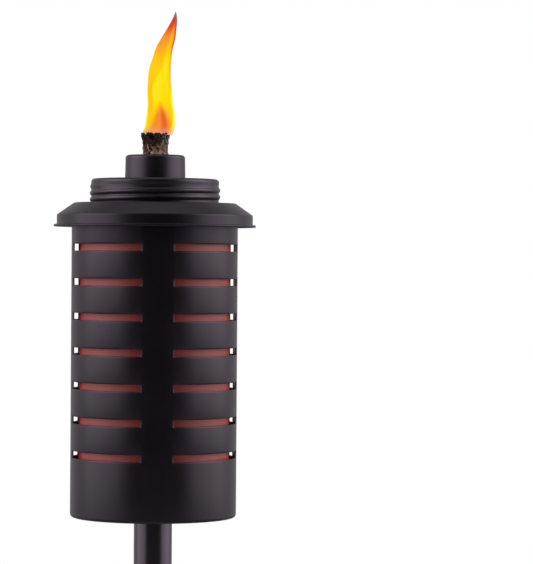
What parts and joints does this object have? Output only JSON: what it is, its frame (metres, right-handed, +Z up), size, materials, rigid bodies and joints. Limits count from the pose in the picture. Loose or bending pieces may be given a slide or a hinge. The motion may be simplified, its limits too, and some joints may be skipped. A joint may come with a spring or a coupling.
{
  "type": "tiki torch",
  "caption": "Garden torch on a sectioned round pole: slotted cylindrical metal head, lift-out fuel canister with flared cover, screw cap and wick, and a ground spike.",
  "frame": {"origin": "on the pole's axis at the ground line, where the ground spike leaves the end of the lowest pole tube", "axes": "+Z up along the pole towards the flame; the front is -Y and +X is to the right seen from the front"},
  "size_m": [0.1342, 0.1342, 1.7446],
  "materials": {
    "black_coating": "satin",
    "red_paint": "satin",
    "bare_steel": "satin",
    "zinc_steel": "satin",
    "gasket_rubber": "matte",
    "wick_fibre": "matte",
    "flame_light": "matte"
  },
  "bodies": {
    "pole_foot": {"pole_lower": "black_coating", "ground_spike": "black_coating", "spike_pin": "zinc_steel"},
    "pole_centre": {"pole_middle": "black_coating"},
    "pole_head_end": {"pole_upper": "black_coating"},
    "head": {"head_stem": "black_coating", "stem_flange": "black_coating", "shell_base": "black_coating", "slotted_shell": "black_coating", "stem_screws": "zinc_steel", "stem_washers": "zinc_steel", "stem_nuts": "zinc_steel"},
    "canister": {"canister_body": "red_paint", "canister_bottom": "red_paint", "canister_top": "red_paint", "canister_neck": "bare_steel", "canister_cover": "black_coating"},
    "burner": {"burner_cap": "black_coating", "burner_plate": "bare_steel", "wick_tube": "bare_steel", "cap_gasket": "gasket_rubber"},
    "cap": {"screw_cap": "black_coating"},
    "wick_and_flame": {"wick": "wick_fibre", "flame": "flame_light"}
  },
  "joints": [
    {"name": "middle_pole_lift", "type": "slide", "parent": "pole_foot", "child": "pole_centre", "axis": [0, 0, 1], "range_m": [0, 0.055]},
    {"name": "upper_pole_lift", "type": "slide", "parent": "pole_centre", "child": "pole_head_end", "axis": [0, 0, 1], "range_m": [0, 0.055]},
    {"name": "head_lift", "type": "slide", "parent": "pole_head_end", "child": "head", "axis": [0, 0, 1], "range_m": [0, 0.055]},
    {"name": "canister_lift", "type": "slide", "parent": "head", "child": "canister", "axis": [0, 0, 1], "range_m": [0, 0.185]},
    {"name": "burner_lift", "type": "slide", "parent": "canister", "child": "burner", "axis": [0, 0, 1], "range_m": [0, 0.01075]},
    {"name": "cap_turn", "type": "hinge", "parent": "burner", "child": "cap", "pos_m": [0, 0, 1.42], "axis": [0, 0, 1], "range_deg": [0, 900]},
    {"name": "wick_pull", "type": "slide", "parent": "burner", "child": "wick_and_flame", "axis": [0, 0, 1], "range_m": [-0.01, 0.01]}
  ],
  "couplings": [
    {"joint": "burner_lift", "follows": "cap_turn", "m_per_rad": 0.0006843}
  ]
}
